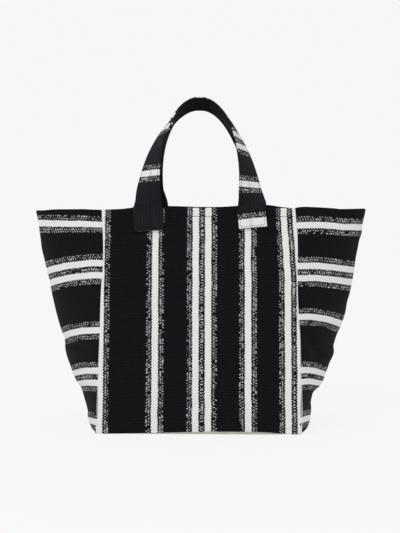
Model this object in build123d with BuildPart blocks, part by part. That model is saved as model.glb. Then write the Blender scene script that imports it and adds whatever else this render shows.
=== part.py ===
from build123d import *
import os
from math import cos, pi, radians, sin

# A striped canvas tote bag, standing open and empty. Millimetres, +Z up, the front of the bag
# faces -Y, and the origin is the middle of the footprint on the surface that it stands on.

# Driving dimensions of the bag.
BASE_LENGTH = 300.0  # corner seam to corner seam along X, at the base
BASE_DEPTH = 190.0  # front seam to back seam along Y, at the base
RIM_HEIGHT = 331.5
RIM_LENGTH = 290.0  # corner seam to corner seam along X, at the rim
RIM_DEPTH = 110.0  # the front and back panels lean in towards the mouth
WING_REACH = (  # (height, how far the gusset's outer fold stands from the middle)
    (0.0, 165.0),
    (7.0, 171.0),
    (46.0, 178.0),
    (81.0, 197.0),
    (135.0, 211.0),
    (210.0, 231.5),
    (RIM_HEIGHT, 254.0),
)

# Layers, counted inwards from the outer face of the cloth.
CLOTH = 1.6
TAPE_INNER = 2.4
LINING_INNER = 2.9
FACING_INNER = 3.9
FACING_DROP = 28.0  # how far the facing reaches below the rim
FOLD_DROP = 6.0  # the part of it that is the folded rim itself
LAYER_GAP = 0.1  # clearance between the facing and the layers that it lies on
TAPE_WIDTH = 10.0
TAPE_CLEAR = 1.0

# Base: a canvas tray round a stiff board.
BASE_EDGE = 5.5
BASE_CLOTH = 1.5
BOARD_THICK = 3.0
BOARD_INSET = 3.5
BOARD_CORNER = 14.0
BASE_LINING = 0.6

# Handles: one flat strap each, sewn to the outside of the panel at both ends.
STRAP_WIDTH = 42.0
STRAP_THICK = 4.0
CORE_WIDTH = 36.0
CORE_THICK = 1.2
HANDLE_HALF_SPAN = 78.8
HANDLE_RISE = 162.0
HANDLE_LEAN = 12.5  # degrees towards the middle of the bag
CROWN_TURN = 97.0  # degrees that the strap has turned about its own line at the crown
TURN_START = 0.05  # share of the leg, up from the rim, that is not turned at all
TURN_POWER = 0.5  # below 1 the strap turns fastest just above the rim
HINGE_GAP = 1.0  # between the rim and the foot of a handle
STRAP_STEPS = 30
TAB_HEIGHT = 30.0

# Stitching, as raised lines of thread.
THREAD = 0.7
THREAD_PROUD = 0.5
RIM_STITCH_DROP = 12.5
BOX_STITCH_INSET = 3.0

CORNERS = [(end, side) for end in (-1, 1) for side in (-1, 1)]
END_NAMES = {-1: "left", 1: "right"}
SIDE_NAMES = {-1: "front", 1: "back"}


def between(low, high, z):
    """A size that changes evenly from the base to the rim."""
    return low + (high - low) * z / RIM_HEIGHT


def seam_x(z):
    """Half the panel's length at a height."""
    return between(BASE_LENGTH / 2, RIM_LENGTH / 2, z)


def seam_y(z):
    """Half the bag's depth at the corner seams, at a height."""
    return between(BASE_DEPTH / 2, RIM_DEPTH / 2, z)


def wing_x(z):
    """How far the gusset's outer fold stands from the middle, at a height."""
    for (z0, x0), (z1, x1) in zip(WING_REACH, WING_REACH[1:]):
        if z <= z1:
            return x0 + (x1 - x0) * (z - z0) / (z1 - z0)
    return WING_REACH[-1][1]


def half_fold(z, end, side, depth):
    """Control points of half a gusset's section, from its corner seam to its outer fold."""
    reach = wing_x(z) - seam_x(z)
    run = Vector(0.55 * reach, 0.25 * seam_y(z))
    along = run.normalized()
    first = Vector(seam_x(z), -seam_y(z) + depth / along.X)
    second = Vector(seam_x(z), -seam_y(z)) + run + Vector(-along.Y, along.X) * depth
    third = Vector(wing_x(z) - depth, -0.38 * seam_y(z))
    fold = Vector(wing_x(z) - depth, 0)
    return [(end * p.X, -side * p.Y) for p in (first, second, third, fold)]


def levels(low, high):
    """The heights at which a gusset needs a section."""
    inner = [z for z, _ in WING_REACH if low < z < high]
    return [low, *inner, high]


def gusset_layer(end, bands):
    """One layer of a gusset: bands of (low, high, outer depth, inner depth)."""
    with BuildPart() as layer:
        for low, high, outer, inner in bands:
            for z in levels(low, high):
                with BuildSketch(Plane.XY.offset(z)):
                    with BuildLine():
                        front_out = Bezier(*half_fold(z, end, -1, outer))
                        back_out = Bezier(*reversed(half_fold(z, end, 1, outer)))
                        back_in = Bezier(*half_fold(z, end, 1, inner))
                        front_in = Bezier(*reversed(half_fold(z, end, -1, inner)))
                        Line(back_out @ 1, back_in @ 0)
                        Line(front_in @ 1, front_out @ 0)
                    make_face()
            loft(ruled=True)
    return layer


def panel_layer(side, bands, x_range=None):
    """One layer of the front or back panel, or the stretch of it between two X values."""
    with BuildPart() as layer:
        for low, high, outer, inner in bands:
            for z in (low, high):
                x0, x1 = x_range or (-seam_x(z), seam_x(z))
                middle = ((x0 + x1) / 2, side * (seam_y(z) - (outer + inner) / 2))
                with BuildSketch(Plane.XY.offset(z)):
                    with Locations(middle):
                        Rectangle(x1 - x0, inner - outer)
            loft(ruled=True)
    return layer


def base_block(low, high, depth):
    """The base's outline, moved in by a depth, between two heights."""
    with BuildPart() as block:
        for z in levels(low, high):
            y = seam_y(z) - depth
            with BuildSketch(Plane.XY.offset(z)):
                with BuildLine():
                    right_front = Bezier(*base_end(z, 1, -1, depth))
                    right_back = Bezier(*reversed(base_end(z, 1, 1, depth)))
                    Line(right_back @ 1, (-seam_x(z), y))
                    left_back = Bezier(*base_end(z, -1, 1, depth))
                    Bezier(*reversed(base_end(z, -1, -1, depth)))
                    Line((-seam_x(z), -y), right_front @ 0)
                make_face()
        loft(ruled=True)
    return block


def base_end(z, end, side, depth):
    """Half of the base's rounded end: the gusset's section, meeting the long edge."""
    points = half_fold(z, end, side, depth)
    points[0] = (end * seam_x(z), side * (seam_y(z) - depth))
    return points


def save(piece, name):
    """Labels a finished piece and writes it as its own node."""
    piece.part.label = name
    export_step(piece.part, f"parts/{name}.step")


def make_shell():
    """Outer cloth, lining and rim facing of the two panels and the two gussets."""
    outer = [(BASE_EDGE, RIM_HEIGHT, 0.0, CLOTH)]
    low_edge, fold_edge = RIM_HEIGHT - FACING_DROP, RIM_HEIGHT - FOLD_DROP
    lining = [(BASE_EDGE, fold_edge - LAYER_GAP, TAPE_INNER, LINING_INNER)]
    facing = [
        (low_edge, fold_edge, LINING_INNER + LAYER_GAP, FACING_INNER),
        (fold_edge, RIM_HEIGHT, CLOTH + LAYER_GAP, FACING_INNER),
    ]
    stitch = rim_stitch_bands()
    for side, where in SIDE_NAMES.items():
        save(panel_layer(side, outer), f"{where}_panel")
        save(panel_layer(side, lining), f"{where}_lining")
        save(panel_layer(side, facing), f"{where}_rim_facing")
        save(panel_stitching(side, stitch), f"{where}_rim_stitching")
    for end, where in END_NAMES.items():
        save(gusset_layer(end, outer), f"{where}_gusset")
        save(gusset_layer(end, lining), f"{where}_gusset_lining")
        save(gusset_layer(end, facing), f"{where}_gusset_facing")
        save(gusset_layer(end, stitch), f"{where}_gusset_stitching")


def rim_stitch_bands():
    """The line of thread round the bag that holds the turned rim down."""
    z = RIM_HEIGHT - RIM_STITCH_DROP
    return [(z - THREAD / 2, z + THREAD / 2, -THREAD_PROUD, 0.0)]


def panel_stitching(side, bands):
    """The rim's line of thread along one panel, in the stretches that the straps leave clear."""
    near, far = HANDLE_HALF_SPAN - STRAP_WIDTH / 2, HANDLE_HALF_SPAN + STRAP_WIDTH / 2
    edge = seam_x(RIM_HEIGHT)
    stops = (-edge, -far, -near, near, far, edge)
    with BuildPart() as line:
        for x0, x1 in zip(stops[::2], stops[1::2]):
            add(panel_layer(side, bands, (x0, x1)).part)
    return line


def make_seam_tapes():
    """A bound seam allowance inside each corner, between the cloth and the lining."""
    bands = [(BASE_EDGE, RIM_HEIGHT - FACING_DROP, CLOTH, TAPE_INNER)]
    reach = RIM_LENGTH / 2 - TAPE_CLEAR
    for end, side in CORNERS:
        x_range = sorted((end * reach, end * (reach - TAPE_WIDTH)))
        name = f"{SIDE_NAMES[side]}_{END_NAMES[end]}_seam_tape"
        save(panel_layer(side, bands, x_range), name)


def make_base():
    """The canvas base tray, the board that stiffens it and the lining over the board."""
    outside = base_block(0.0, BASE_EDGE, 0.0)
    inside = base_block(BASE_CLOTH, BASE_EDGE, CLOTH)
    with BuildPart() as tray:
        add(outside.part)
        add(inside.part, mode=Mode.SUBTRACT)
    save(tray, "base_panel")

    board_top = BASE_CLOTH + BOARD_THICK
    with BuildPart() as board:
        with BuildSketch(Plane.XY.offset(BASE_CLOTH)):
            RectangleRounded(
                BASE_LENGTH - 2 * BOARD_INSET, BASE_DEPTH - 2 * BOARD_INSET, BOARD_CORNER
            )
        extrude(amount=BOARD_THICK)
    save(board, "base_board")
    save(base_block(board_top, board_top + BASE_LINING, LINING_INNER), "base_lining")


def make_strap_ends():
    """The sewn-down ends of the straps, and the box of stitching through each."""
    low = RIM_HEIGHT - TAB_HEIGHT
    for end, side in CORNERS:
        centre = end * HANDLE_HALF_SPAN
        x_range = (centre - STRAP_WIDTH / 2, centre + STRAP_WIDTH / 2)
        where = f"{SIDE_NAMES[side]}_{END_NAMES[end]}"
        tab = panel_layer(side, [(low, RIM_HEIGHT, -STRAP_THICK, 0.0)], x_range)
        save(tab, f"{where}_strap_end")
        save(box_stitch(side, low, x_range), f"{where}_box_stitching")


def box_stitch(side, low, x_range):
    """A raised rectangle of thread on the face of a strap end."""
    x0, x1 = x_range[0] + BOX_STITCH_INSET, x_range[1] - BOX_STITCH_INSET
    z0, z1 = low + BOX_STITCH_INSET, RIM_HEIGHT - BOX_STITCH_INSET
    with BuildPart() as frame:
        for inset, mode in ((0.0, Mode.ADD), (THREAD, Mode.SUBTRACT)):
            for z in (z0 + inset, z1 - inset):
                y = side * (seam_y(z) + STRAP_THICK + THREAD_PROUD / 2)
                with BuildSketch(Plane.XY.offset(z)):
                    with Locations(((x0 + x1) / 2, y)):
                        Rectangle(x1 - x0 - 2 * inset, THREAD_PROUD + 2 * inset)
            loft(ruled=True, mode=mode)
    return frame


def loop_points():
    """Points (across, up) along a handle's half ellipse, closest together near its feet."""
    points = []
    for step in range(STRAP_STEPS + 1):
        share = pi * step / STRAP_STEPS
        angle = share / 2 + pi / 4 * (1 - cos(share))
        points.append(Vector(HANDLE_HALF_SPAN * cos(angle), HANDLE_RISE * sin(angle)))
    return points


def strap_planes(side, offset):
    """Planes along a handle: x across the strap, y through it, moved inwards by an offset."""
    lean = radians(HANDLE_LEAN)
    up = Vector(0, -side * sin(lean), cos(lean))
    inward = Vector(0, -side * cos(lean), -sin(lean))
    foot = Vector(0, side * (RIM_DEPTH / 2 + STRAP_THICK / 2), RIM_HEIGHT + HINGE_GAP)
    points = loop_points()
    lengths = [0.0]
    for near, far in zip(points, points[1:]):
        lengths.append(lengths[-1] + (far - near).length)
    for step, point in enumerate(points):
        chord = points[min(step + 1, STRAP_STEPS)] - points[max(step - 1, 0)]
        if step in (0, STRAP_STEPS):
            chord = Vector(0, 1 if step == 0 else -1)
        line = Vector(chord.X, 0, 0) + up * chord.Y
        outward = Vector(chord.Y, 0, 0) - up * chord.X
        climb = 1 - abs(1 - 2 * lengths[step] / lengths[-1])
        turned = max(climb - TURN_START, 0) / (1 - TURN_START)
        turn = radians(CROWN_TURN * turned ** TURN_POWER)
        width = outward.normalized() * cos(turn) + inward * sin(turn)
        through = line.normalized().cross(width) * -side
        origin = foot + Vector(point.X, 0, 0) + up * point.Y + through * offset
        yield Plane(origin=origin, x_dir=width, z_dir=line)


def strap_layer(side, width, near, far):
    """One layer of a handle's strap, from its near to its far depth through the strap."""
    with BuildPart() as layer:
        for plane in strap_planes(side, (near + far) / 2):
            with BuildSketch(plane):
                Rectangle(width, far - near)
        loft(ruled=True)
    return layer


def make_handles():
    """Each handle's outer face, its webbing core and its inner face."""
    half, core = STRAP_THICK / 2, CORE_THICK / 2
    for side, where in SIDE_NAMES.items():
        save(strap_layer(side, STRAP_WIDTH, -half, -core), f"{where}_handle_face")
        save(strap_layer(side, CORE_WIDTH, -core, core), f"{where}_handle_core")
        save(strap_layer(side, STRAP_WIDTH, core, half), f"{where}_handle_backing")


os.makedirs("parts", exist_ok=True)
make_shell()
make_seam_tapes()
make_base()
make_strap_ends()
make_handles()
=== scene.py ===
import math

import bpy
import numpy as np
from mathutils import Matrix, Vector


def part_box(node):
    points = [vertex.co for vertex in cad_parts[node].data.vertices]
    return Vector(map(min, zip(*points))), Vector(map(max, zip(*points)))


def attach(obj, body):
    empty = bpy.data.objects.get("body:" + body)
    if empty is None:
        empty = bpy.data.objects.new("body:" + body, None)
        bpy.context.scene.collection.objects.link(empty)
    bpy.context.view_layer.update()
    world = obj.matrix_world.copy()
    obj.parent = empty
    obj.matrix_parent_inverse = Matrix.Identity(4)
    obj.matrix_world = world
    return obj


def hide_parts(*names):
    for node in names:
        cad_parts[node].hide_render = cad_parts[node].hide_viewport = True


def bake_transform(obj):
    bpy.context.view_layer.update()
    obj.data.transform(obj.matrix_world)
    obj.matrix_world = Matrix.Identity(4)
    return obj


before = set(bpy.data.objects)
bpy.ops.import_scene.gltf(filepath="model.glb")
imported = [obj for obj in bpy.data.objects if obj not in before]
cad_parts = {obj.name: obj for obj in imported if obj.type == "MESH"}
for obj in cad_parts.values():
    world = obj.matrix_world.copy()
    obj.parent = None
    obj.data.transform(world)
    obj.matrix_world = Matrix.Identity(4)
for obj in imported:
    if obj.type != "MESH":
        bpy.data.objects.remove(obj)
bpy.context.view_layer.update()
MM = 0.001

# ---------------------------------------------------------------- sizes, from the frame
panel_low, panel_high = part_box("front_panel")
CLOTH = 1.6 * MM
BASE_Z = panel_low.z
RIM_Z = panel_high.z
BASE_Y = -panel_low.y
RIM_Y = CLOTH - panel_high.y
HEIGHT = RIM_Z - BASE_Z

# Layers, counted inwards from the outer face of the cloth.
LINING = (2.4 * MM, 2.9 * MM)
FACING = (3.0 * MM, 3.9 * MM)
TAPE = (1.7 * MM, 2.3 * MM)
FACING_DROP = 28 * MM
FOLD_DROP = 6 * MM
RIM_STITCH_DROP = 12.5 * MM
STITCH_UP = (RIM_Z - RIM_STITCH_DROP - BASE_Z) / HEIGHT

# How far the cloth is drawn in along a line of sewing, and how far to each side that reaches.
SEAM_DIP, SEAM_DIP_WIDTH = 1.3 * MM, 2.2 * MM
STITCH_DIP, STITCH_DIP_WIDTH = 0.45 * MM, 1.3 * MM
# The lowest share of a gusset turns in under the base and hangs over it.
GUSSET_TUCK_SHARE = 0.03
GUSSET_TUCK = 2.6 * MM
GUSSET_HANG = 4.3

# The tables below are in millimetres. Ends are -1 for the left and 1 for the right, and sides are
# -1 for the front and 1 for the back.

# The corner seams: (height, distance from the middle) of the front panel's two edges.
LEFT_EDGE = ((0, 150.3), (26, 149.8), (60, 148.6), (92, 148.0), (146, 146.6), (214, 145.1),
             (250, 142.8), (283, 143.4), (332, 146.2))
RIGHT_EDGE = ((0, 149.6), (26, 151.0), (60, 151.2), (92, 150.4), (136, 149.6), (200, 146.6),
              (250, 147.0), (283, 147.2), (332, 143.8))

# The outer fold of each gusset: (height, distance from the middle).
LEFT_FOLD = ((0, 166), (6, 171), (22, 171.5), (40, 177), (65, 190), (90, 202), (102, 207.3),
             (114, 210.3), (127, 211.5), (139, 215), (164, 222), (189, 228), (209, 231.5),
             (248, 240), (332, 255))
RIGHT_FOLD = ((0, 165), (5, 169), (19, 172), (40, 172.5), (53, 180), (66, 190), (77, 193.5),
              (92, 199.5), (108, 206.5), (119, 207.5), (132, 209.5), (155, 219.5), (197, 231),
              (248, 240.5), (275, 245.5), (290, 249.5), (305, 251.5), (332, 255.5))

# How the rim rises above the hem's even height: (place across the bag, rise).
FRONT_RIM = ((-150, -3.9), (-118, -2.8), (-100, -2.0), (-40, -0.8), (0, -1.0), (60, -0.5),
             (100, -1.0), (125, -1.6), (150, -1.2))
BACK_RIM = ((-150, -2.6), (-135, -2.2), (-115, 0.2), (-90, 3.0), (-45, 3.2), (0, 1.9), (35, 2.1),
            (60, 3.6), (112, 4.4), (118, 3.4), (131, 1.4), (150, -0.4))
# How far a gusset's hem sags: (share of the way from the front seam to the fold, sag).
LEFT_HEM = ((0, 3.9), (0.08, 3.7), (0.165, 3.0), (0.26, 3.1), (0.37, 3.2), (0.48, 3.3),
            (0.62, 4.4), (0.77, 5.2), (1, 4.8))
RIGHT_HEM = ((0, 1.2), (0.04, 0.0), (0.17, 0.1), (0.27, 0.9), (0.37, 2.0), (0.48, 3.7),
             (0.62, 4.1), (0.76, 4.5), (1, 2.2))

# Woven stripes: middles of the white ones in one repeat of the cloth, and the repeat.
STRIPES = (13.5, 31.3, 112.0, 172.0, 190.5, 249.25)
REPEAT = 294.5
PANEL_STRIPE_SHIFT = 176.6
# How far the front panel's lower edge hangs over the base: (place across the panel, drop).
FRONT_DROP = ((-150, 4.7), (-116, 4.5), (-87, 3.7), (-35, 2.2), (22, 0.9), (58, 0.8), (102, 1.7),
              (131, 3.8), (150, 4.6))
# How far down each gusset the cloth's length has run: (drop below the rim, cloth length).
LEFT_RUN = ((0, 226.5), (23, 249.25), (93, 317.25), (184.5, 407.75), (251.3, 475.75),
            (317, 543.75), (345, 572))
RIGHT_RUN = ((0, 570), (26.3, 543.75), (96.5, 475.75), (161.5, 407.75), (248.9, 317.25),
             (312.7, 249.25), (345, 216))
# How much lower a stripe lies at the outer fold than at the seam: (drop, extra drop).
LEFT_LAG = ((0, -6), (17, -4.5), (80, 14), (110, 15.5), (180, 16.5), (251, 16), (275, 12),
            (345, 10))
RIGHT_LAG = ((0, -2), (26, 1), (80, 10), (106, 9.5), (161, 16), (249, 18), (275, 12), (345, 10))

EDGE = {-1: LEFT_EDGE, 1: RIGHT_EDGE}
FOLD = {-1: LEFT_FOLD, 1: RIGHT_FOLD}
HEM = {-1: LEFT_HEM, 1: RIGHT_HEM}
RUN = {-1: LEFT_RUN, 1: RIGHT_RUN}
LAG = {-1: LEFT_LAG, 1: RIGHT_LAG}
RIM = {-1: FRONT_RIM, 1: BACK_RIM}


def smooth_through(points, at):
    """A smooth curve through (place, value) points, read at an array of places."""
    x, y = np.array(points, float).T
    slope = np.gradient(y, x)
    at = np.clip(at, x[0], x[-1])
    i = np.clip(np.searchsorted(x, at) - 1, 0, len(x) - 2)
    h = x[i + 1] - x[i]
    f = (at - x[i]) / h
    return (
        (2 * f**3 - 3 * f**2 + 1) * y[i]
        + (f**3 - 2 * f**2 + f) * h * slope[i]
        + (3 * f**2 - 2 * f**3) * y[i + 1]
        + (f**3 - f**2) * h * slope[i + 1]
    )


def ease(f):
    """From 0 to 1 with a soft start and stop, and level outside that."""
    f = np.clip(f, 0, 1)
    return f * f * (3 - 2 * f)


def waves(a, b, seed, scale, count=5):
    """Slow irregular waves over a surface, from -1 to 1; a, b in metres."""
    rng = np.random.default_rng(seed)
    total = np.zeros(np.broadcast(a, b).shape)
    for _ in range(count):
        angle = rng.uniform(0, math.tau)
        size = scale * rng.uniform(0.6, 1.5)
        phase = rng.uniform(0, math.tau)
        total = total + np.sin((a * math.cos(angle) + b * math.sin(angle)) / size * math.tau + phase)
    return total / count


def depth_at(z):
    """Half the bag's depth at its corner seams, at a height."""
    return BASE_Y + (RIM_Y - BASE_Y) * z / RIM_Z


def edge_x(end, z):
    """Where a corner seam stands, on the left (-1) or the right (1)."""
    return smooth_through(EDGE[end], z / MM) * MM


def fold_x(end, z):
    """Where a gusset's outer fold stands."""
    return smooth_through(FOLD[end], z / MM) * MM


def crease(a, b, start, stop, width, depth):
    """A soft valley along a line from start to stop on a surface with coordinates a, b."""
    start, stop = np.array(start, float), np.array(stop, float)
    along = stop - start
    f = np.clip(((a - start[0]) * along[0] + (b - start[1]) * along[1]) / (along @ along), 0, 1)
    far = np.hypot(a - start[0] - f * along[0], b - start[1] - f * along[1])
    fade = np.sin(np.pi * np.clip(f, 0.04, 0.96)) ** 0.5
    return -depth * fade * np.exp(-((far / width) ** 2))


def stitching_dip(z):
    """How far the rim's line of stitching draws the cloth in, at a height."""
    return STITCH_DIP * np.exp(-(((RIM_Z - RIM_STITCH_DROP - z) / STITCH_DIP_WIDTH) ** 2))


def tucked(v):
    """1 at a gusset's lower edge and 0 above the part that turns in."""
    return ease((GUSSET_TUCK_SHARE - v) / GUSSET_TUCK_SHARE)


# ---------------------------------------------------------------- walls of the bag
def panel_wall(side, u, v):
    """The outer face of a panel: u across from -1 to 1, v up from 0 to 1."""
    z = BASE_Z + HEIGHT * v
    left, right = edge_x(-1, z), edge_x(1, z)
    x = (right - left) / 2 + u * (right + left) / 2
    inside = 1 - u**2
    bow = 3.0 * MM * inside * np.sin(np.pi * v) ** 0.8
    ripple = 1.1 * MM * waves(x, z, 11 + side, 0.19) * inside * ease((1 - v) * 6) * ease(v * 6)
    rim_wave = 0.8 * MM * waves(x, 0 * z, 5 + side, 0.11) * ease((v - 0.75) * 4) * inside
    from_edge = (1 - np.abs(u)) * 145 * MM
    seam_dip = SEAM_DIP * np.exp(-((from_edge / SEAM_DIP_WIDTH) ** 2))
    stitch_dip = stitching_dip(z)
    out = bow + ripple + rim_wave - seam_dip - stitch_dip
    turn_under = (0.4 if side < 0 else 1.2) * MM * ease((0.022 - v) / 0.022)
    y = side * (depth_at(z) + out - turn_under)
    z = z + smooth_through(RIM[side], x / MM) * MM * ease((v - 0.8) * 5)
    hang = smooth_through(FRONT_DROP, x / MM) if side < 0 else 2.5
    z = z - hang * MM * ease((0.06 - v) / 0.06)
    return np.stack(np.broadcast_arrays(x, y, z), -1)


def gusset_wrinkles(end, x, z, across):
    """How far a gusset's cloth stands out from its smooth shape.

    across is -1 at the front seam, 0 at the fold and 1 at the back seam.
    """
    near_fold = 1 - np.abs(across)
    free = np.clip(1 - np.abs(across) ** 4, 0, 1) * ease((RIM_Z - z) / (25 * MM))
    free = free * ease((z - BASE_Z) / (12 * MM))
    slow = 2.4 * MM * waves(x * 0.7, z, 31 + end, 0.13)
    quick = 0.8 * MM * waves(x, z, 47 + end, 0.045) * near_fold
    a, b = (np.abs(x) - 0.145) / MM, z / MM
    if end < 0:
        folds = (
            crease(a, b, (8, 112), (66, 132), 7, 3.2)
            + crease(a, b, (4, 66), (50, 52), 8, 2.6)
            + crease(a, b, (20, 150), (70, 140), 9, 2.2)
            + crease(a, b, (10, 210), (80, 262), 16, 2.0)
        )
    else:
        folds = (
            crease(a, b, (6, 150), (44, 96), 8, 5.0)
            + crease(a, b, (30, 122), (64, 120), 6, 3.8)
            + crease(a, b, (6, 70), (36, 47), 7, 4.2)
            + crease(a, b, (30, 205), (86, 180), 14, 2.4)
            + crease(a, b, (60, 292), (104, 284), 7, 2.6)
        )
    return (slow + quick) * free + folds * MM * free


def gusset_wall(end, across, v):
    """The outer face of a gusset: across from -1 at the front seam to 1 at the back seam, v up."""
    z = BASE_Z + HEIGHT * v
    seam, reach, half = edge_x(end, z), fold_x(end, z), depth_at(z)
    t = 1 - np.abs(across)
    bulge = reach - seam
    p0, p1, p2, p3 = 0, 0.55 * bulge, bulge, bulge
    q0, q1, q2, q3 = half, 0.75 * half, 0.38 * half, 0
    c0, c1, c2, c3 = (1 - t) ** 3, 3 * t * (1 - t) ** 2, 3 * t**2 * (1 - t), t**3
    x = seam + p0 * c0 + p1 * c1 + p2 * c2 + p3 * c3
    y = q0 * c0 + q1 * c1 + q2 * c2 + q3 * c3
    dx = 3 * ((p1 - p0) * (1 - t) ** 2 + 2 * (p2 - p1) * t * (1 - t) + (p3 - p2) * t**2)
    dy = 3 * ((q1 - q0) * (1 - t) ** 2 + 2 * (q2 - q1) * t * (1 - t) + (q3 - q2) * t**2)
    size = np.hypot(dx, dy)
    nx, ny = -dy / size, dx / size
    out = gusset_wrinkles(end, x, z, across)
    girth = t * np.hypot(bulge, half)
    out = out - SEAM_DIP * np.exp(-((girth / SEAM_DIP_WIDTH) ** 2))
    out = out - stitching_dip(z)
    out = out - GUSSET_TUCK * tucked(v)
    x, y = x + nx * out, y + ny * out
    hem = ease((v - 0.8) * 5)
    low, corner = (4.8, 2.6) if end < 0 else (2.2, 0.4)
    front_sag = smooth_through(HEM[end], t)
    back_sag = corner + (low - corner) * ease(t * 2.4)
    z = z - hem * np.where(across < 0, front_sag, back_sag) * MM
    z = z - GUSSET_HANG * MM * tucked(v)
    return np.stack(np.broadcast_arrays(end * x, np.sign(across + 1e-12) * y, z), -1)


def normals(grid):
    """Unit normals of a grid of points."""
    du = np.gradient(grid, axis=1)
    dv = np.gradient(grid, axis=0)
    n = np.cross(du, dv)
    return n / np.maximum(np.linalg.norm(n, axis=-1, keepdims=True), 1e-12)


def inwards(grid, n):
    """The normals turned to point to the inside of the bag."""
    middle = grid.mean((0, 1)) * np.array((1, 1, 0))
    return n if (n.mean((0, 1)) @ middle) < 0 else -n


# ---------------------------------------------------------------- mesh making
def new_piece(name, points, faces, uv, material):
    """A smooth mesh object with its cloth coordinates, one for each point."""
    mesh = bpy.data.meshes.new(name)
    mesh.from_pydata([tuple(p) for p in points], [], [tuple(f) for f in faces])
    layer = mesh.uv_layers.new(name="Cloth")
    loops = np.zeros(len(mesh.loops), np.int32)
    mesh.loops.foreach_get("vertex_index", loops)
    layer.data.foreach_set("uv", np.asarray(uv, np.float32)[loops].ravel())
    mesh.polygons.foreach_set("use_smooth", [True] * len(mesh.polygons))
    mesh.materials.append(material)
    mesh.validate()
    mesh.update()
    piece = bpy.data.objects.new(name, mesh)
    bpy.context.scene.collection.objects.link(piece)
    return piece


def grid_faces(rows, columns, offset, flip):
    """The four-sided faces of a grid of points, numbered from an offset."""
    i = np.arange(rows - 1)[:, None] * columns + np.arange(columns - 1)[None, :] + offset
    quads = np.stack([i, i + 1, i + columns + 1, i + columns], -1).reshape(-1, 4)
    return quads[:, ::-1] if flip else quads


def border(rows, columns):
    """Indices of a grid's outline, once round."""
    bottom = np.arange(columns)
    right = np.arange(1, rows) * columns + columns - 1
    top = (rows - 1) * columns + np.arange(columns - 2, -1, -1)
    left = np.arange(rows - 2, 0, -1) * columns
    return np.concatenate([bottom, right, top, left])


def cloth_piece(name, grid, inward, near, far, uv, material):
    """A closed piece of cloth on a grid of points, between two depths, with a rounded edge."""
    rows, columns = grid.shape[:2]
    count = rows * columns
    outer = (grid + inward * near).reshape(-1, 3)
    inner = (grid + inward * far).reshape(-1, 3)
    ring = border(rows, columns)
    thick = np.linalg.norm(inner[ring] - outer[ring], axis=1, keepdims=True)
    middle = (outer[ring] + inner[ring]) / 2 + edge_steps(grid, ring) * thick * 0.42
    points = np.concatenate([outer, inner, middle])
    turned = np.cross(grid[0, 1] - grid[0, 0], grid[1, 0] - grid[0, 0]) @ inward[0, 0] > 0
    a, b = ring, np.roll(ring, -1)
    m = 2 * count + np.arange(len(ring))
    n = np.roll(m, -1)
    first = np.stack([a, m, n, b], -1)
    second = np.stack([m, a + count, b + count, n], -1)
    if turned:
        first, second = first[:, ::-1], second[:, ::-1]
    front = grid_faces(rows, columns, 0, turned)
    back = grid_faces(rows, columns, count, not turned)
    flat_uv = uv.reshape(-1, 2)
    all_uv = np.concatenate([flat_uv, flat_uv, flat_uv[ring]])
    return new_piece(name, points, np.concatenate([front, back, first, second]), all_uv, material)


def edge_steps(grid, ring):
    """Unit steps that point out of a grid's edge, for its outline's points."""
    rows, columns = grid.shape[:2]
    flat = grid.reshape(-1, 3)
    row, column = ring // columns, ring % columns
    nearest = np.clip(row, 1, rows - 2) * columns + np.clip(column, 1, columns - 2)
    step = flat[ring] - flat[nearest]
    return step / np.maximum(np.linalg.norm(step, axis=1, keepdims=True), 1e-12)


def spaced(low, high, step, *dense):
    """Places from low to high, about a step apart, and closer round (place, reach, step) ones."""
    places = [low]
    while places[-1] < high - 1e-9:
        near = [fine for place, reach, fine in dense if abs(places[-1] - place) < reach]
        places.append(places[-1] + min([step, *near]))
    places[-1] = high
    return np.array(places)


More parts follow.
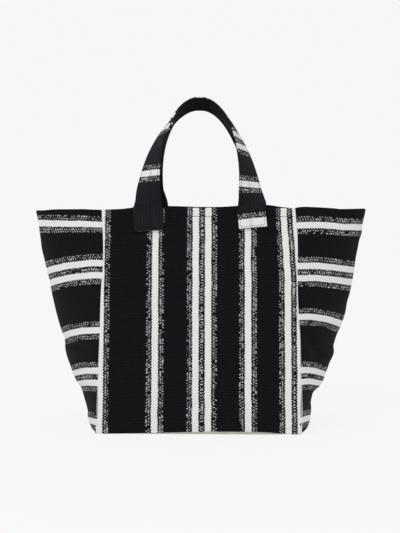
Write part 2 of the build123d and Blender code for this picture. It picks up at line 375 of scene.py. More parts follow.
# ---------------------------------------------------------------- materials
class Recipe:
    """A material under construction. Every value is a socket or a plain number."""

    def __init__(self, name):
        self.material = bpy.data.materials.new(name)
        self.material.use_nodes = True
        self.tree = self.material.node_tree
        self.tree.nodes.clear()

    def node(self, kind, inputs, output=0, **settings):
        made = self.tree.nodes.new("ShaderNode" + kind)
        for key, value in settings.items():
            setattr(made, key, value)
        for key, value in inputs.items():
            if isinstance(value, bpy.types.NodeSocket):
                self.tree.links.new(value, made.inputs[key])
            else:
                made.inputs[key].default_value = value
        return made.outputs[output] if made.outputs else None

    def math(self, operation, *values):
        return self.node("Math", dict(enumerate(values)), operation=operation)

    def remap(self, value, low, high, to_low, to_high):
        inputs = {"Value": value, "From Min": low, "From Max": high}
        inputs.update({"To Min": to_low, "To Max": to_high})
        return self.node("MapRange", inputs, clamp=True)

    def cloth_place(self):
        """Millimetres across and along the cloth."""
        uv = self.node("UVMap", {}, uv_map="Cloth")
        parts = self.node("SeparateXYZ", {0: uv}).node
        return tuple(self.math("MULTIPLY", parts.outputs[k], 1000.0) for k in (0, 1))

    def at(self, a, b, c=0.0):
        return self.node("CombineXYZ", {0: a, 1: b, 2: c})

    def scatter(self, a, b):
        """A different random number from 0 to 1 in each whole-number cell."""
        return self.node("TexWhiteNoise", {"Vector": self.at(a, b)}, noise_dimensions="2D")

    def noise(self, a, b, scale, detail=2.0):
        inputs = {"Vector": self.at(a, b), "Scale": scale, "Detail": detail, "Roughness": 0.55}
        return self.node("TexNoise", inputs, noise_dimensions="2D")

    def blend(self, factor, a, b):
        inputs = {"Factor": factor, "A": a, "B": b}
        made = self.tree.nodes.new("ShaderNodeMix")
        made.data_type = "RGBA"
        for key, value in inputs.items():
            socket = next(s for s in made.inputs if s.name == key and s.enabled)
            if isinstance(value, bpy.types.NodeSocket):
                self.tree.links.new(value, socket)
            else:
                socket.default_value = value
        return next(s for s in made.outputs if s.enabled)

    def finish(self, colour, roughness, height, distance, specular=0.15, sheen=0.0):
        bump = self.node("Bump", {"Height": height, "Distance": distance, "Strength": 1.0})
        inputs = {"Base Color": colour, "Roughness": roughness, "Normal": bump}
        inputs.update({"Specular IOR Level": specular, "Sheen Weight": sheen})
        surface = self.node("BsdfPrincipled", inputs)
        self.node("OutputMaterial", {"Surface": surface})
        return self.material


def grey(value, tint=(1.0, 1.0, 1.0)):
    """A grey of this reflectance, tinted a little."""
    return (value * tint[0], value * tint[1], value * tint[2], 1.0)


def striped_canvas(name, stripes, period=None, black=(0.0003, 0.0108)):
    """Black heavy canvas with white stripes, speckled along both edges as the woven cloth is; its
    grooves and knots are darkened with painted shade.
    """
    r = Recipe(name)
    s, t = r.cloth_place()
    sway = r.noise(r.math("MULTIPLY", s, 0.3), r.math("MULTIPLY", t, 0.12), 1.0, 1.0)
    a = r.math("DIVIDE", s, 1.8)
    b = r.math("ADD", r.math("DIVIDE", t, 2.05), r.math("MULTIPLY", sway, 0.9))
    drift = r.math("MULTIPLY_ADD", r.noise(r.math("MULTIPLY", s, 0.2), t, 0.03), 2.0, -1.0)
    place = r.math("ADD", s, drift)
    middles = list(stripes)
    if period:
        place = r.math("FLOORED_MODULO", place, period)
        middles += [stripes[0] + period, stripes[-1] - period]
    far = 1000.0
    for middle in middles:
        far = r.math("MINIMUM", r.math("ABSOLUTE", r.math("SUBTRACT", place, middle)), far)
    # Columns of specks beside a stripe: each white yarn comes up on every other pick.
    cell = r.math("DIVIDE", r.math("SUBTRACT", far, 3.3), 3.4)
    column = r.math("FLOOR", cell)
    across = r.math("SUBTRACT", cell, column)
    slant = r.math("MULTIPLY", r.math("SUBTRACT", across, 0.5), 0.5)
    leaning = r.math("ADD", b, slant)
    pick = r.math("FLOOR", leaning)
    over = r.math("LESS_THAN", r.math("FLOORED_MODULO", r.math("ADD", column, pick), 2.0), 0.5)
    rib = r.math("ABSOLUTE", r.math("SINE", r.math("MULTIPLY", b, math.pi)))
    yarn = r.math("ABSOLUTE", r.math("SINE", r.math("MULTIPLY", a, math.pi)))
    dot = r.math("MULTIPLY",
                 r.math("ABSOLUTE", r.math("SINE", r.math("MULTIPLY", leaning, math.pi))),
                 r.math("SINE", r.math("MULTIPLY", across, math.pi)))
    chance_of = r.scatter(r.math("FLOOR", r.math("DIVIDE", s, 3.4)), pick)
    lively = r.noise(r.math("MULTIPLY", s, 0.16), r.math("MULTIPLY", t, 0.05), 1.0, 2.0)
    rise = r.remap(far, 5.0, 7.6, 0.35, 1.0)
    fall = r.remap(far, 10.0, 13.4, 1.0, 0.55)
    dense = r.math("MULTIPLY", r.math("MINIMUM", rise, fall), r.math("LESS_THAN", far, 13.4))
    streak = r.noise(r.math("MULTIPLY", s, 0.33), r.math("MULTIPLY", t, 0.045), 1.0, 2.0)
    solid = r.remap(lively, 0.46, 0.64, 0.06, 0.62)
    thin = r.remap(lively, 0.3, 0.45, 0.55, 0.93)
    odds = r.math("ADD", r.math("MULTIPLY", over, thin),
                  r.math("MULTIPLY", r.math("SUBTRACT", 1.0, over), solid))
    speck = r.math("LESS_THAN", chance_of, r.math("MULTIPLY", dense, odds))
    edge = r.math("MULTIPLY_ADD", r.math("MULTIPLY", over, chance_of), 1.1, 4.35)
    band = r.math("LESS_THAN", far, edge)
    tone = r.scatter(r.math("FLOOR", a), r.math("FLOOR", b))
    knot = r.math("MULTIPLY", rib, yarn)
    # The white darkens where its yarns dip between the knots: painted shade.
    white = r.blend(r.remap(knot, 0.0, 0.5, 0.0, 1.0), grey(0.63), grey(0.78, (1.0, 0.99, 0.965)))
    random_tone = r.math("MULTIPLY_ADD", tone, 0.5, 0.5)
    # Each speck fades to black at its edges: partly its rounded shape, partly painted shade where its
    # yarn dips; with a random tone and slow streaks.
    bright = r.math("MULTIPLY", r.remap(dot, 0.12, 0.9, 0.0, 1.0), random_tone)
    bright = r.math("MULTIPLY", bright, r.remap(streak, 0.36, 0.60, 0.42, 1.0))
    fleck = r.blend(bright, grey(0.03), grey(0.80, (1.0, 0.99, 0.965)))
    # The black darkens in the grooves of the ribs and of every second pick: painted shade; with a
    # random tone for each yarn.
    painted_groove_shade_and_tone = r.math("MULTIPLY_ADD", r.math("POWER", rib, 2.0), 0.40, r.math("MULTIPLY", tone, 0.22))
    paired = r.math("ABSOLUTE", r.math("SINE", r.math("MULTIPLY", b, math.pi / 2)))
    painted_groove_shade_and_tone = r.math("MULTIPLY_ADD", paired, 0.38, painted_groove_shade_and_tone)
    tint = (0.95, 0.98, 1.22)
    dark = r.blend(painted_groove_shade_and_tone, grey(black[0], tint), grey(black[1], tint))
    colour = r.blend(band, r.blend(speck, dark, fleck), white)
    height = r.math("MULTIPLY_ADD", knot, 0.5, r.math("MULTIPLY", rib, 0.45))
    height = r.math("MULTIPLY_ADD", r.noise(s, t, 1.1, 3.0), 0.35, height)
    height = r.math("MULTIPLY_ADD", r.math("MAXIMUM", speck, band), 0.2, height)
    return r.finish(colour, 0.85, height, 0.0005, 0.03, 0.03)


def plain_weave(name, low, high, pitch, roughness=0.9, distance=0.0002):
    """A plain weave whose yarns differ a little in colour."""
    r = Recipe(name)
    s, t = r.cloth_place()
    a, b = r.math("DIVIDE", s, pitch), r.math("DIVIDE", t, pitch)
    tone = r.scatter(r.math("FLOOR", a), r.math("FLOOR", b))
    cloud = r.noise(s, t, 0.06, 3.0)
    colour = r.blend(r.math("MULTIPLY_ADD", tone, 0.5, r.math("MULTIPLY", cloud, 0.5)), low, high)
    over = r.math("SINE", r.math("MULTIPLY", a, math.pi))
    under = r.math("SINE", r.math("MULTIPLY", b, math.pi))
    height = r.math("ABSOLUTE", r.math("MULTIPLY", over, under))
    height = r.math("MULTIPLY_ADD", r.noise(s, t, 1.4, 3.0), 0.4, height)
    return r.finish(colour, roughness, height, distance, 0.06)


def twill(name, low, high, pitch, turn=0.0, roughness=0.7, distance=0.00015):
    """A twill; with a turn its diagonals change direction every so many millimetres."""
    r = Recipe(name)
    s, t = r.cloth_place()
    across = r.math("PINGPONG", s, turn) if turn else s
    line = r.math("DIVIDE", r.math("ADD", across, t), pitch)
    tone = r.scatter(r.math("FLOOR", line), r.math("FLOOR", r.math("DIVIDE", s, pitch * 2)))
    cloud = r.noise(s, t, 0.05, 3.0)
    colour = r.blend(r.math("MULTIPLY_ADD", tone, 0.4, r.math("MULTIPLY", cloud, 0.6)), low, high)
    height = r.math("ABSOLUTE", r.math("SINE", r.math("MULTIPLY", line, math.pi)))
    height = r.math("MULTIPLY_ADD", r.noise(s, t, 1.8, 2.0), 0.3, height)
    return r.finish(colour, roughness, height, distance, 0.1)


def rough_board(name):
    r = Recipe(name)
    place = r.node("TexCoord", {}, output=3)
    grain = r.node("TexNoise", {"Vector": place, "Scale": 900.0, "Detail": 4.0})
    cloud = r.node("TexNoise", {"Vector": place, "Scale": 14.0, "Detail": 3.0})
    colour = r.blend(cloud, grey(0.33, (1.0, 0.97, 0.92)), grey(0.47, (1.0, 0.98, 0.94)))
    return r.finish(colour, 0.75, grain, 0.0002, 0.3)


CANVAS = striped_canvas("striped_canvas", STRIPES, REPEAT)
FRONT_STRAP_STRIPES = (51.5, 126.5, 145.5, 195.0, 276.5, 296.0, 354.6, 411.6, 416.0)
BACK_STRAP_STRIPES = (37.6, 113.3, 131.7, 199.0, 288.6, 356.0, 374.2)
# The straps' canvas is the bag's striped canvas with a lighter black: painted light, for the extra
# light that falls on the straps.
STRAP_PAINTED_LIGHT_BLACK = (0.003, 0.0195)
FRONT_STRAP = striped_canvas("front_strap_canvas_painted_light", FRONT_STRAP_STRIPES, None, STRAP_PAINTED_LIGHT_BLACK)
BACK_STRAP = striped_canvas("back_strap_canvas_painted_light", BACK_STRAP_STRIPES, None, STRAP_PAINTED_LIGHT_BLACK)
NATURAL = plain_weave(
    "natural_canvas", grey(0.34, (1.0, 0.99, 0.88)), grey(0.48, (1.0, 1.0, 0.88)), 1.1
)
BACKING = plain_weave("black_canvas", grey(0.003), grey(0.008), 1.4)
TWILL = twill("lining", grey(0.004), grey(0.010), 0.8)
HERRINGBONE = twill("seam_tape", grey(0.008), grey(0.02), 0.9, 2.5)
WEBBING = twill("strap_core", grey(0.42), grey(0.58), 1.4, 3.0, 0.6)
THREAD = twill("thread", grey(0.005), grey(0.014), 0.5, 0.0, 0.5, 0.00008)
BOARD = rough_board("board")


# ---------------------------------------------------------------- camera, light and stage
def make_camera():
    turn, away = math.radians(1.5), 1.595
    data = bpy.data.cameras.new("camera")
    data.lens = 69.57
    data.sensor_width = 36.0
    data.clip_end = 50.0
    data.shift_y = -0.0839
    camera = bpy.data.objects.new("camera", data)
    camera.location = (away * math.sin(turn), -away * math.cos(turn), 0.310)
    camera.rotation_euler = (math.radians(90), 0, turn)
    bpy.context.scene.collection.objects.link(camera)
    bpy.context.scene.camera = camera


def make_light(name, place, aim, size, power):
    data = bpy.data.lights.new(name, "AREA")
    data.shape = "RECTANGLE"
    data.size, data.size_y = size
    data.energy = power
    light = bpy.data.objects.new(name, data)
    light.location = place
    light.rotation_euler = (Vector(aim) - Vector(place)).to_track_quat("-Z", "Y").to_euler()
    bpy.context.scene.collection.objects.link(light)


def make_stage():
    """A pale floor that curves up all round into a pale wall."""
    profile = [(0.0, 0.0), (0.3, 0.0), (0.7, 0.0), (1.2, 0.0), (1.8, 0.0)]
    for step in range(1, 9):
        angle = math.radians(90 * step / 8)
        profile.append((1.8 + 0.7 * math.sin(angle), 0.7 - 0.7 * math.cos(angle)))
    profile += [(2.5, 1.4), (2.5, 2.6), (2.3, 3.4), (0.0, 3.6)]
    around = 48
    points, faces = [], []
    for radius, height in profile:
        for k in range(around):
            angle = math.tau * k / around
            points.append((radius * math.cos(angle), radius * math.sin(angle), height - 0.0004))
    for row in range(len(profile) - 1):
        for k in range(around):
            a, b = row * around + k, row * around + (k + 1) % around
            faces.append((a, b, b + around, a + around))
    mesh = bpy.data.meshes.new("stage")
    mesh.from_pydata(points, [], faces)
    mesh.polygons.foreach_set("use_smooth", [True] * len(mesh.polygons))
    material = bpy.data.materials.new("stage")
    material.use_nodes = True
    tree = material.node_tree
    tree.nodes.clear()
    glow = tree.nodes.new("ShaderNodeEmission")
    glow.inputs["Color"].default_value = (0.93, 0.932, 0.935, 1)
    paper = tree.nodes.new("ShaderNodeBsdfDiffuse")
    paper.inputs["Color"].default_value = (0.86, 0.86, 0.86, 1)
    mix = tree.nodes.new("ShaderNodeMixShader")
    mix.inputs[0].default_value = 0.1
    output = tree.nodes.new("ShaderNodeOutputMaterial")
    tree.links.new(glow.outputs[0], mix.inputs[1])
    tree.links.new(paper.outputs[0], mix.inputs[2])
    tree.links.new(mix.outputs[0], output.inputs["Surface"])
    mesh.materials.append(material)
    stage = bpy.data.objects.new("stage", mesh)
    bpy.context.scene.collection.objects.link(stage)


make_camera()
make_stage()
bpy.context.scene.view_settings.view_transform = "Standard"
world = bpy.data.worlds.new("world")
world.use_nodes = True
world.node_tree.nodes["Background"].inputs["Color"].default_value = (1.0, 1.0, 1.0, 1)
world.node_tree.nodes["Background"].inputs["Strength"].default_value = 0.35
bpy.context.scene.world = world
make_light("key", (-0.9, -1.5, 1.7), (0, 0, 0.25), (0.9, 0.9), 14.0)
make_light("fill", (1.3, -1.2, 0.9), (0, 0, 0.2), (0.9, 1.2), 1.5)
make_light("overhead", (0.0, 0.3, 2.2), (0, 0, 0.2), (1.4, 1.4), 4.0)
make_light("back", (0.4, 1.6, 1.2), (0, 0, 0.2), (1.2, 1.2), 2.0)


# ---------------------------------------------------------------- outer cloth, lining and facing
PANEL_FLAT = (0.320, 0.356)
GUSSET_FLAT = (0.280, 0.352)
GUSSET_AREA = 0.083  # less than its rectangle, because a gusset tapers to the base


def along_panel(fine=True):
    """Places across a panel, closer near its seams."""
    if fine:
        return spaced(-1, 1, 0.018, (-1, 0.045, 0.0045), (1, 0.045, 0.0045))
    return spaced(-1, 1, 0.05, (-1, 0.04, 0.01), (1, 0.04, 0.01))


def up_wall(low, high, fine=True):
    """Places up a wall, closer round the hem's stitching and at both ends."""
    if fine:
        closer = (STITCH_UP, 0.012, 0.002), (0, 0.03, 0.0025), (1, 0.012, 0.003)
        return spaced(low, high, 0.0085, *closer)
    return spaced(low, high, 0.02, (STITCH_UP, 0.012, 0.004), (0, 0.03, 0.005))


def wall_grid(wall, which, across, up):
    """A wall's points and the directions to the inside of the bag."""
    u, v = np.meshgrid(across, up)
    grid = wall(which, u, v)
    return grid, inwards(grid, normals(grid))


def panel_uv(grid):
    x, z = grid[..., 0], grid[..., 2]
    pulled = 5.5 * MM * ease((x / MM - 90) / 38) * ease((z / MM - 225) / 105)
    return np.stack([x + PANEL_STRIPE_SHIFT * MM + pulled, z], -1)


def gusset_uv(end, across, up, grid):
    """The stripes run across a gusset, and sit a little lower at its fold."""
    u, v = np.meshgrid(across, up)
    drop = (1 - v) * HEIGHT / MM * 1.007 + GUSSET_HANG * tucked(v)
    lag = smooth_through(LAG[end], drop) * ease(1 - np.abs(u))
    s = smooth_through(RUN[end], drop - lag) * MM
    steps = np.linalg.norm(np.diff(grid, axis=1), axis=-1)
    girth = np.concatenate([np.zeros((len(up), 1)), np.cumsum(steps, 1)], 1)
    middle = girth[:, len(across) // 2:len(across) // 2 + 1]
    return np.stack([s, girth - middle], -1)


def plain_uv(grid):
    steps = np.linalg.norm(np.diff(grid, axis=1), axis=-1)
    girth = np.concatenate([np.zeros((grid.shape[0], 1)), np.cumsum(steps, 1)], 1)
    return np.stack([girth, grid[..., 2]], -1)


def declare(piece, body, nodes):
    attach(piece, body)
    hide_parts(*nodes)


def make_wall(name, wall, which, across_fine, across_plain, flat, area):
    """The outer cloth, the lining and the rim facing of a panel or a gusset."""
    up = up_wall(0, 1)
    grid, inward = wall_grid(wall, which, across_fine, up)
    uv = panel_uv(grid) if wall is panel_wall else gusset_uv(which, across_fine, up, grid)
    cloth = cloth_piece(f"{name}_canvas", grid, inward, 0, CLOTH, uv, CANVAS)
    node = f"{name}_panel" if wall is panel_wall else name
    declare(cloth, "bag", [node])

    fold = 1 - FOLD_DROP / HEIGHT
    grid, inward = wall_grid(wall, which, across_plain, up_wall(0.002, fold - 0.0005, False))
    lining = cloth_piece(f"{name}_lining_cloth", grid, inward, *LINING, plain_uv(grid), TWILL)
    declare(lining, "bag", [f"{name}_lining"])

    up = spaced(1 - FACING_DROP / HEIGHT, 1, 0.004, (fold, 0.012, 0.0016))
    grid, inward = wall_grid(wall, which, across_fine[1:-1], up)
    step = ease((up - fold) / 0.008)[:, None, None]
    near = FACING[0] + (CLOTH + 0.1 * MM - FACING[0]) * step
    uv = panel_uv(grid) + (0.05, 0) if wall is panel_wall else plain_uv(grid)
    facing = cloth_piece(f"{name}_facing_cloth", grid, inward, near, FACING[1], uv, BACKING)
    word = "rim_facing" if wall is panel_wall else "facing"
    declare(facing, "bag", [f"{name}_{word}"])


SIDES = {-1: "front", 1: "back"}
ENDS = {-1: "left", 1: "right"}
across_gusset = spaced(-1, 1, 0.024, (-1, 0.05, 0.006), (1, 0.05, 0.006))
across_gusset_plain = spaced(-1, 1, 0.05, (-1, 0.05, 0.012), (1, 0.05, 0.012))
for side, word in SIDES.items():
    make_wall(word, panel_wall, side, along_panel(), along_panel(False), PANEL_FLAT, None)
for end, word in ENDS.items():
    places = across_gusset, across_gusset_plain
    make_wall(f"{word}_gusset", gusset_wall, end, *places, GUSSET_FLAT, GUSSET_AREA)


# ---------------------------------------------------------------- seam tapes
def make_seam_tape(side, end):
    """The tape that binds a corner seam on the inside, half on the panel and half on the gusset."""
    up = up_wall(0.01, 1 - 9 * MM / HEIGHT, False)
    reach = np.array([5.0, 3.6, 2.2, 1.0]) * MM
    columns = []
    for distance in reach:
        u = end * (1 - distance / (145 * MM)) * np.ones(len(up))
        columns.append((panel_wall, side, u))
    for distance in reach[::-1]:
        columns.append((gusset_wall, end, side * (1 - distance / (105 * MM)) * np.ones(len(up))))
    grid = np.stack([wall(which, u, up) for wall, which, u in columns], 1)
    inward = inwards(grid, normals(grid))
    name = f"{SIDES[side]}_{ENDS[end]}_seam_tape"
    tape = cloth_piece(f"{name}_cloth", grid, inward, *TAPE, plain_uv(grid), HERRINGBONE)
    declare(tape, "bag", [name])


for end in ENDS:
    for side in SIDES:
        make_seam_tape(side, end)


# ---------------------------------------------------------------- base
def base_outline(count=240):
    """The base's outline without its corners' sharp points, once round, as (x, y)."""
    t = np.linspace(0, 1, 40)
    pieces = []
    for end in (1, -1):
        for side in (-1, 1) if end > 0 else (1, -1):
            seam, reach = 143 * MM, 158 * MM
            bulge, half = reach - seam, BASE_Y
            b = np.stack([(1 - t)**3, 3 * t * (1 - t)**2, 3 * t**2 * (1 - t), t**3], -1)
            x = seam + b @ np.array([0, 0.55 * bulge, bulge, bulge])
            y = b @ np.array([half, 0.75 * half, 0.38 * half, 0])
            half_end = np.stack([end * x, side * y], -1)
            forward = side * end < 0
            pieces.append(half_end if forward else half_end[::-1])
    outline = np.concatenate(pieces)
    steps = np.linalg.norm(np.diff(np.vstack([outline, outline[:1]]), axis=0), axis=1)
    run = np.concatenate([[0], np.cumsum(steps)])
    closed = np.vstack([outline, outline[:1]])
    at = np.linspace(0, run[-1], count, endpoint=False)
    even = np.stack([np.interp(at, run, closed[:, k]) for k in (0, 1)], -1)
    for _ in range(60):
        even = (np.roll(even, 1, 0) + 2 * even + np.roll(even, -1, 0)) / 4
    return even


def inset(outline, distance):
    """An outline moved in by a distance."""
    along = np.roll(outline, -1, 0) - np.roll(outline, 1, 0)
    inward = np.stack([-along[:, 1], along[:, 0]], -1)
    inward /= np.linalg.norm(inward, axis=1, keepdims=True)
    return outline + inward * distance


def ringed(name, outline, profile, material):
    """A closed solid from rings of (distance in, height) and two rounds of flat filling."""
    count = len(outline)
    rings = [np.column_stack([inset(outline, d * MM), np.full(count, z * MM)]) for d, z in profile]
    first, last = rings[0], rings[-1]
    lower = [np.column_stack([first[:, :2] * f, first[:, 2]]) for f in (0.02, 0.4, 0.8)]
    upper = [np.column_stack([last[:, :2] * f, last[:, 2]]) for f in (0.8, 0.4, 0.02)]
    rings = lower + rings + upper
    points = np.concatenate(rings)
    uv = points[:, :2] + (0.4, 0.4)
    uv[:, 1] += points[:, 2]
    k = np.arange(count)
    faces = []
    for row in range(len(rings) - 1):
        a, b = row * count + k, row * count + (k + 1) % count
        faces.append(np.stack([a, b, b + count, a + count], -1))
    faces = [tuple(f) for f in np.concatenate(faces)]
    top = (len(rings) - 1) * count
    faces += [tuple(int(i) for i in k[::-1]), tuple(int(top + i) for i in k)]
    return new_piece(name, points, faces, uv, material)


def make_base():
    outline = base_outline()
    tray = ringed(
        "base_canvas",
        outline,
        [(3.2, 0.0), (2.3, 0.15), (1.95, 0.7), (1.9, 1.6), (1.9, 2.8), (2.1, 4.1), (2.6, 5.0),
         (3.1, 5.5), (3.6, 5.7), (3.7, 5.4), (3.4, 4.5), (3.3, 3.4), (3.3, 2.4), (3.7, 1.6),
         (4.6, 1.45)],
        NATURAL,
    )
    declare(tray, "bag", ["base_panel"])
    lining = ringed(
        "base_lining_cloth",
        outline,
        [(4.8, 4.6), (4.5, 4.75), (4.45, 4.95), (4.6, 5.1), (5.0, 5.2)],
        TWILL,
    )
    declare(lining, "bag", ["base_lining"])
    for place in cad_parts["base_board"].material_slots:
        place.material = BOARD


make_base()


# ---------------------------------------------------------------- thread
def stitches(name, points, outward, material, length=3.1 * MM, gap=0.6 * MM, size=0.36 * MM):
    """A row of stitches along a line of points; each dips into the cloth at its ends."""
    steps = np.linalg.norm(np.diff(points, axis=0), axis=1)
    run = np.concatenate([[0], np.cumsum(steps)])
    count = max(int(run[-1] // (length + gap)), 1)
    rng = np.random.default_rng(len(name) + count)
    starts = np.arange(count) * (run[-1] / count) + gap / 2
    f = np.linspace(0, 1, 6)
    at = starts[:, None] + f[None, :] * length * rng.uniform(0.94, 1.04, (count, 1))
    place = np.stack([np.interp(at, run, points[:, k]) for k in range(3)], -1)
    up = np.stack([np.interp(at, run, outward[:, k]) for k in range(3)], -1)
    up /= np.linalg.norm(up, axis=-1, keepdims=True)
    line = np.gradient(place, axis=1)
    line /= np.linalg.norm(line, axis=-1, keepdims=True)
    sideways = np.cross(line, up)
    slant = (f - 0.5)[None, :, None] * sideways * rng.normal(0.15, 0.08, (count, 1, 1)) * MM
    lift = (np.sin(np.pi * f) ** 0.6 * 1.1 - 0.75)[None, :, None] * size
    place = place + up * lift + slant
    girth = size * np.array([0.55, 0.9, 1.0, 1.0, 0.9, 0.55])[None, :, None, None]
    turn = np.arange(6) * math.tau / 6
    ring = up[:, :, None] * np.cos(turn)[:, None] + sideways[:, :, None] * np.sin(turn)[:, None]
    vertices = (place[:, :, None] + ring * girth).reshape(-1, 3)
    along = np.broadcast_to((at * 1.0)[:, :, None], ring.shape[:3])
    around = np.broadcast_to((turn * size)[None, None, :], ring.shape[:3])
    uv = np.stack([around, along], -1).reshape(-1, 2)
    base = (np.arange(count) * 36)[:, None, None]
    i = np.arange(5)[None, :, None] * 6
    j, k = np.arange(6)[None, None, :], (np.arange(6) + 1)[None, None, :] % 6
    quads = np.stack([base + i + j, base + i + k, base + i + 6 + k, base + i + 6 + j], -1)
    faces = [tuple(q) for q in quads.reshape(-1, 4)]
    for b in range(count):
        faces.append(tuple(b * 36 + 5 - n for n in range(6)))
        faces.append(tuple(b * 36 + 30 + n for n in range(6)))
    return new_piece(name, vertices, faces, uv, material)


def joined(name, parts):
    """Several pieces of thread as one piece."""
    first = parts[0]
    with bpy.context.temp_override(
        active_object=first, object=first, selected_objects=parts, selected_editable_objects=parts
    ):
        bpy.ops.object.join()
    first.name = name
    return first


def wall_line(wall, which, across, up, lift):
    """Points on a wall, a little proud of it, and its outward directions there."""
    step = 0.004
    place = wall(which, across, up)
    du = wall(which, np.clip(across + step, -1, 1), up) - wall(which, np.clip(across - step, -1, 1), up)
    dv = wall(which, across, up + step) - wall(which, across, up - step)
    n = np.cross(du, dv)
    n /= np.linalg.norm(n, axis=-1, keepdims=True)
    if (n * place * (1, 1, 0)).sum() < 0:
        n = -n
    return place + n * lift, n


STRAP_THICK = 4.0 * MM
STRAP_HALF = 21.0 * MM
HANDLE_SPAN = 77.6 * MM
# How far along the panel each handle's left and right feet stand from their usual place.
FOOT_SHIFT = {(-1, -1): 1.8 * MM, (-1, 1): 1.8 * MM, (1, -1): 4.0 * MM, (1, 1): 4.0 * MM}


def make_rim_stitching():
    for side, word in SIDES.items():
        parts = []
        for left, right in ((-144.5, -101), (-57, 57), (101, 143)):
            low = left + (FOOT_SHIFT[side, 1 if left > 0 else -1] / MM if left > -140 else 0)
            high = right + (FOOT_SHIFT[side, 1 if right > 0 else -1] / MM if right < 140 else 0)
            across = np.linspace(low, high, 120) / 146.0
            place, n = wall_line(panel_wall, side, across, np.full(120, STITCH_UP), 0.25 * MM)
            parts.append(stitches(f"{word}_rim_thread_{len(parts)}", place, n, THREAD))
        thread = joined(f"{word}_rim_thread", parts)
        declare(thread, "bag", [f"{word}_rim_stitching"])
    for end, word in ENDS.items():
        across = np.linspace(-0.975, 0.975, 400)
        place, n = wall_line(gusset_wall, end, across, np.full(400, STITCH_UP), 0.25 * MM)
        thread = stitches(f"{word}_gusset_thread", place, n, THREAD)
        declare(thread, "bag", [f"{word}_gusset_stitching"])


make_rim_stitching()


# ---------------------------------------------------------------- straps
TAB_HEIGHT = 30.5 * MM
LONG_TAB = 34.5 * MM  # the front left one
FOOT = (57.0 * MM, 332.5 * MM)
LEAN = math.radians(12.5)
LOOP_RISE = 162.2 * MM
CROWN_TURN = 98.0
TURN_START = 0.03
TURN_POWER = 0.44
# How much more or less each leg turns in its upper half: front and back, left and right.
LEG_TURN = {(-1, -1): -11, (-1, 1): -3, (1, -1): 6, (1, 1): 28}
# How much wider each sewn end lies, pressed flat, than the strap: left and right.
SPREAD = {-1: (0.075, 0.0), 1: (0.045, 0.045)}


def tab_points(side, end, tilt):
    """The middle line of a strap's sewn end, from its lower edge up to the rim."""
    height = LONG_TAB if side < 0 and end < 0 else TAB_HEIGHT
    z = np.linspace(RIM_Z - height, RIM_Z - 1.5 * MM, 20)
    x = end * HANDLE_SPAN + FOOT_SHIFT[side, end] + tilt * (RIM_Z - z)
    u = x / (146 * MM)
    up = (z - BASE_Z) / HEIGHT
    place, _ = wall_line(panel_wall, side, u, up, STRAP_THICK / 2 + 0.1 * MM)
    return place


def strap_turn(side, f):
    """How far a strap has turned about its own line, in degrees, at shares of its length."""
    climb = 1 - np.abs(1 - 2 * f)
    turned = np.clip((climb - TURN_START) / (1 - TURN_START), 0, 1)
    turn = CROWN_TURN * turned ** TURN_POWER
    leg = np.sin(np.pi * (climb + 0.13) / 1.13) ** 1.5 * ease(climb / 0.12)
    return turn + leg * np.where(f < 0.5, LEG_TURN[side, -1], LEG_TURN[side, 1])


def strap_path(side):
    """Points along a strap and its width and thickness directions, from left end to right end."""
    up = np.array([0, -side * math.sin(LEAN), math.cos(LEAN)])
    inward = np.array([0, -side * math.cos(LEAN), -math.sin(LEAN)])
    foot = np.array([0, side * FOOT[0], FOOT[1]])
    t = np.pi * (1 - np.linspace(0, 1, 400))
    x = HANDLE_SPAN * np.cos(t)
    rise = LOOP_RISE * np.sin(t)
    settle = 1 - ease(rise / (30 * MM))
    x = x + np.where(x < 0, FOOT_SHIFT[side, -1], FOOT_SHIFT[side, 1]) * settle
    loop = foot + x[:, None] * np.array([1, 0, 0]) + rise[:, None] * up
    left = tab_points(side, -1, 0)
    right = tab_points(side, 1, 0.02 if side < 0 else 0.01)[::-1]
    points = np.concatenate([left, loop, right])
    run = np.concatenate([[0], np.cumsum(np.linalg.norm(np.diff(points, axis=0), axis=1))])
    start, stop = run[len(left)], run[len(left) + len(loop) - 1]
    at = np.linspace(0, run[-1], 300)
    points = np.stack([np.interp(at, run, points[:, k]) for k in range(3)], -1)
    for _ in range(4):
        near = (np.abs(at - start) < 8 * MM) | (np.abs(at - stop) < 8 * MM)
        soft = (np.roll(points, 1, 0) + 2 * points + np.roll(points, -1, 0)) / 4
        points[near] = soft[near]
    line = np.gradient(points, axis=0)
    line /= np.linalg.norm(line, axis=1, keepdims=True)
    f = np.clip((at - start) / (stop - start), 0, 1)
    turn = np.radians(strap_turn(side, f))[:, None]
    outward = (line @ up)[:, None] * np.array([-1.0, 0, 0]) + line[:, :1] * up
    outward /= np.linalg.norm(outward, axis=1, keepdims=True)
    width = outward * np.cos(turn) + inward * np.sin(turn)
    width -= line * (width * line).sum(1, keepdims=True)
    width /= np.linalg.norm(width, axis=1, keepdims=True)
    through = -side * np.cross(line, width)
    return points, width, through, at - start


# Half sections of the strap's layers, (across, through) in millimetres, out and then back.
FACE_SECTION = (
    (0, 2.02), (5, 2.02), (10, 2.0), (14, 1.96), (16.4, 1.9), (17.4, 1.78), (18, 1.6), (18.6, 1.76),
    (19.4, 1.84), (20.2, 1.7), (20.75, 1.35), (21, 0.8), (21, 0.1), (20.75, -0.45), (20.3, -0.3),
    (20.3, 0.3), (19.6, 0.64), (14, 0.64), (7, 0.64), (0, 0.64),
)
CORE_SECTION = (
    (0, 0.58), (8, 0.58), (17, 0.58), (17.8, 0.45), (18, 0), (17.8, -0.45), (17, -0.58),
    (8, -0.58), (0, -0.58),
)
BACKING_SECTION = (
    (0, -0.64), (7, -0.64), (14, -0.64), (19.9, -0.64), (20.6, -0.8), (20.7, -1.2), (20.2, -1.7),
    (19.2, -1.9), (18.5, -1.78), (18, -1.6), (17.5, -1.78), (16.4, -1.9), (10, -1.98), (5, -2.0),
    (0, -2.0),
)


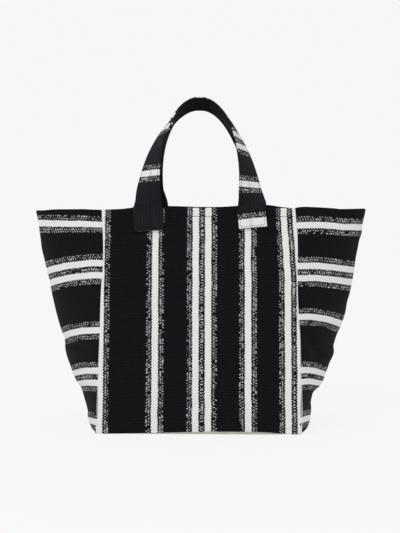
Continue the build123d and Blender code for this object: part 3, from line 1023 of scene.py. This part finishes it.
def strap_layer(name, path, section, material, seed, spread):
    """One layer of a strap: its section carried along the path, with closed ends."""
    points, width, through, arc = path
    half = np.array(section, float) * MM
    other = half[1:-1][::-1] * (-1, 1)
    loop = np.concatenate([half, other])
    rows, count = len(points), len(loop)
    wobble = 0.25 * MM * waves(arc, 0 * arc, seed, 0.05)
    total = arc[-1] - TAB_HEIGHT
    past_rim = np.maximum(-arc, arc - total)
    spread = np.where(arc < total / 2, spread[0], spread[1])
    wide = 1.0 + spread * ease(past_rim / (2 * MM) + 0.5)
    fold = 0.7 * MM * np.exp(-((past_rim / (1.6 * MM)) ** 2))[:, None]
    over, out = loop[None, :, 0], loop[None, :, 1]
    across = over * wide[:, None] + wobble[:, None] * np.sign(over) * (np.abs(over) > 0.015)
    puff = 0.22 * MM * waves(arc, 0 * arc, seed + 5, 0.025)[:, None]
    puff = puff * (1 - (over / STRAP_HALF) ** 2)
    deep = out + puff - fold * (out > 0)
    vertices = points[:, None] + across[..., None] * width[:, None] + deep[..., None] * through[:, None]
    turned = np.concatenate([[0], np.cumsum(np.linalg.norm(np.diff(loop, axis=0), axis=1))])
    uv = np.stack(np.broadcast_arrays(arc[:, None] + 0, turned[None, :]), -1)
    k = np.arange(count)
    faces = []
    for row in range(rows - 1):
        a, b = row * count + k, row * count + (k + 1) % count
        faces.append(np.stack([a, b, b + count, a + count], -1))
    faces = [tuple(f) for f in np.concatenate(faces)]
    last = (rows - 1) * count
    faces += [tuple(int(i) for i in k[::-1]), tuple(int(last + i) for i in k)]
    return new_piece(name, vertices.reshape(-1, 3), faces, uv.reshape(-1, 2), material)


def make_strap(side):
    word = SIDES[side]
    path = strap_path(side)
    points, width, through, arc = path
    canvas = FRONT_STRAP if side < 0 else BACK_STRAP
    ends = [f"{word}_left_strap_end", f"{word}_right_strap_end"]
    layers = (
        ("face", FACE_SECTION, canvas, "striped_canvas", [f"{word}_handle_face", *ends], 0.058),
        ("core", CORE_SECTION, WEBBING, "strap_core", [f"{word}_handle_core"], 0.036),
        ("backing", BACKING_SECTION, BACKING, "striped_canvas", [f"{word}_handle_backing"], 0.052),
    )
    for layer, section, material, slot, nodes, flat in layers:
        spread = (0, 0) if layer == "core" else SPREAD[side]
        piece = strap_layer(f"{word}_strap_{layer}", path, section, material, 60 + side, spread)
        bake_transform(piece)
        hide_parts(*nodes)

    total = arc[-1] - TAB_HEIGHT
    loop = (arc > -1 * MM) & (arc < total + 1 * MM)
    rows = []
    for edge in (-1, 1):
        for face in (1, -1):
            place = points + width * edge * 18 * MM + through * face * 1.72 * MM
            outward = through[loop] * face
            rows.append(stitches(f"{word}_edge_{edge}_{face}", place[loop], outward, THREAD))
    thread = joined(f"{word}_handle_thread", rows)
    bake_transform(thread)

    for end_side, low, high in ((-1, arc[0], 0.0), (1, total, arc[-1])):
        inside = (arc > low + 3 * MM) & (arc < high - 3 * MM)
        rows = []
        for edge in (-1, 1):
            place = points + width * edge * 18 * MM + through * 1.72 * MM
            rows.append(stitches(f"{word}_box_{edge}", place[inside], through[inside], THREAD))
        for height in (low + 3 * MM, high - 3 * MM):
            k = int(np.argmin(np.abs(arc - height)))
            across = np.linspace(-18, 18, 40)[:, None] * MM
            place = points[k] + across * width[k] + through[k] * 2.1 * MM
            rows.append(stitches(f"{word}_box_{k}", place, np.tile(through[k], (40, 1)), THREAD))
        box = joined(f"{word}_{ENDS[end_side]}_box_thread", rows)
        declare(box, "bag", [f"{word}_{ENDS[end_side]}_box_stitching"])


for side in SIDES:
    make_strap(side)
